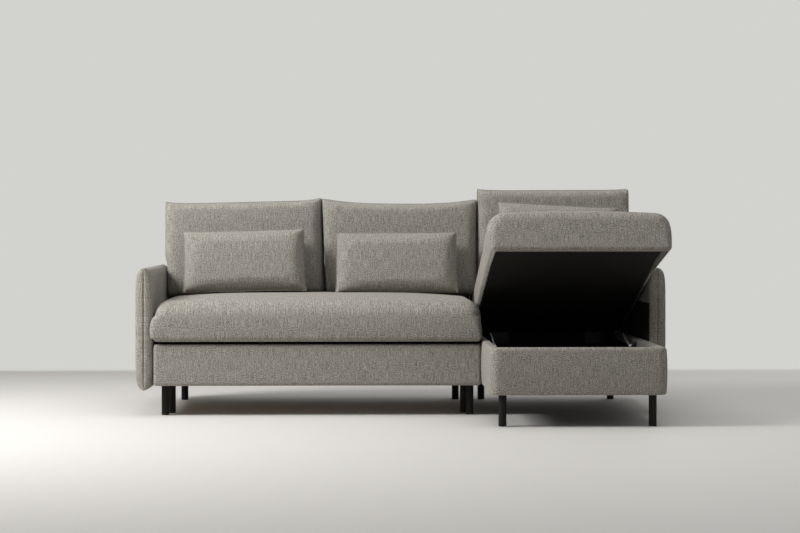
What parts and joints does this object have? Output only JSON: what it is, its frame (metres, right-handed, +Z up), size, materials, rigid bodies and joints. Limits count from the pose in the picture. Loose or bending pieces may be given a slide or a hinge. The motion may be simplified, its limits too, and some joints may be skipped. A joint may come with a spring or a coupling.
{
  "type": "sofa bed with storage chaise",
  "caption": "Grey woven sofa bed with a right-hand storage chaise, its padded lid standing open on gas struts, a pull-out bed drawer, loose back cushions, lumbar pillows and black legs.",
  "frame": {"origin": "on the floor, under the middle of the overall box", "axes": "+X to the chaise side, as seen from the front, -Y to the front, +Z up"},
  "size_m": [2.14, 1.44, 0.9243],
  "materials": {
    "grey_weave": "matte",
    "black_lining": "matte",
    "mattress_ticking": "matte",
    "panel_board": "matte",
    "leg_paint": "satin",
    "bright_steel": "polished",
    "black_steel": "satin"
  },
  "bodies": {
    "sofa": {"left_arm": "grey_weave", "right_arm": "grey_weave", "bed_back": "grey_weave", "chaise_back": "grey_weave", "bed_side_panel_left": "panel_board", "bed_side_panel_right": "panel_board", "drawer_runner_left": "panel_board", "drawer_runner_right": "panel_board", "bed_rear_rail": "panel_board", "seat_deck": "black_lining", "bed_front_leg_left": "leg_paint", "bed_front_leg_right": "leg_paint", "bed_rear_leg_left": "leg_paint", "bed_rear_leg_right": "leg_paint", "seat_cushion": "grey_weave", "chaise_front_wall": "grey_weave", "chaise_left_wall": "grey_weave", "chaise_right_wall": "grey_weave", "chaise_bottom": "black_lining", "chaise_hinge_wall": "black_lining", "chaise_front_leg_left": "leg_paint", "chaise_front_leg_right": "leg_paint", "chaise_rear_leg_left": "leg_paint", "chaise_rear_leg_right": "leg_paint", "lid_hinge_fixed_leaf_left": "black_steel", "lid_hinge_fixed_leaf_right": "black_steel", "strut_foot_bracket_left": "black_steel", "strut_foot_bracket_right": "black_steel", "back_cushion_left": "grey_weave", "back_cushion_middle": "grey_weave", "pillow_left": "grey_weave", "pillow_middle": "grey_weave"},
    "drawer": {"drawer_front": "grey_weave", "drawer_side_left": "panel_board", "drawer_side_right": "panel_board", "drawer_leg_block_left": "panel_board", "drawer_leg_block_right": "panel_board", "drawer_leg_left": "leg_paint", "drawer_leg_right": "leg_paint", "mattress_lift_arm_front_left": "black_steel", "mattress_lift_arm_front_right": "black_steel", "mattress_lift_arm_rear_left": "black_steel", "mattress_lift_arm_rear_right": "black_steel", "drawer_rear_rail": "panel_board", "mattress_base": "panel_board", "pull_out_mattress": "mattress_ticking"},
    "lid": {"lid_board": "black_lining", "lid_cushion": "grey_weave", "lid_hinge_moving_leaf_left": "black_steel", "lid_hinge_moving_leaf_right": "black_steel", "strut_lid_bracket_left": "black_steel", "strut_lid_bracket_right": "black_steel", "pillow_right": "grey_weave"},
    "strut_rod_left": {"strut_rod_left": "bright_steel"},
    "strut_rod_right": {"strut_rod_right": "bright_steel"},
    "strut_cylinder_left": {"strut_cylinder_left": "black_steel"},
    "strut_cylinder_right": {"strut_cylinder_right": "black_steel"},
    "raised_back_cushion": {"back_cushion_right": "grey_weave"}
  },
  "joints": [
    {"name": "drawer_slide", "type": "slide", "parent": "sofa", "child": "drawer", "axis": [0, -1, 0], "range_m": [0, 0.52]},
    {"name": "lid_hinge", "type": "hinge", "parent": "sofa", "child": "lid", "pos_m": [0.664, 0.585, 0.305], "axis": [-1, 0, 0], "range_deg": [-16.4, 0]},
    {"name": "strut_turn_left", "type": "hinge", "parent": "sofa", "child": "strut_rod_left", "pos_m": [0.3855, -0.08, 0.275], "axis": [1, 0, 0], "range_deg": [-9.1, 0]},
    {"name": "strut_slide_left", "type": "slide", "parent": "strut_rod_left", "child": "strut_cylinder_left", "axis": [0, 0.9829, 0.1841], "range_m": [-0.0125, 0]},
    {"name": "strut_turn_right", "type": "hinge", "parent": "sofa", "child": "strut_rod_right", "pos_m": [0.9425, -0.08, 0.275], "axis": [1, 0, 0], "range_deg": [-9.1, 0]},
    {"name": "strut_slide_right", "type": "slide", "parent": "strut_rod_right", "child": "strut_cylinder_right", "axis": [0, 0.9829, 0.1841], "range_m": [-0.0125, 0]},
    {"name": "raised_cushion_slide", "type": "slide", "parent": "sofa", "child": "raised_back_cushion", "axis": [0, 0, 1], "range_m": [-0.036, 0]}
  ],
  "couplings": [
    {"joint": "strut_turn_left", "follows": "lid_hinge", "ratio": 0.54836},
    {"joint": "strut_slide_left", "follows": "lid_hinge", "m_per_rad": 0.041881},
    {"joint": "strut_turn_right", "follows": "lid_hinge", "ratio": 0.54836},
    {"joint": "strut_slide_right", "follows": "lid_hinge", "m_per_rad": 0.041881},
    {"joint": "raised_cushion_slide", "follows": "lid_hinge", "m_per_rad": 0.1223}
  ]
}
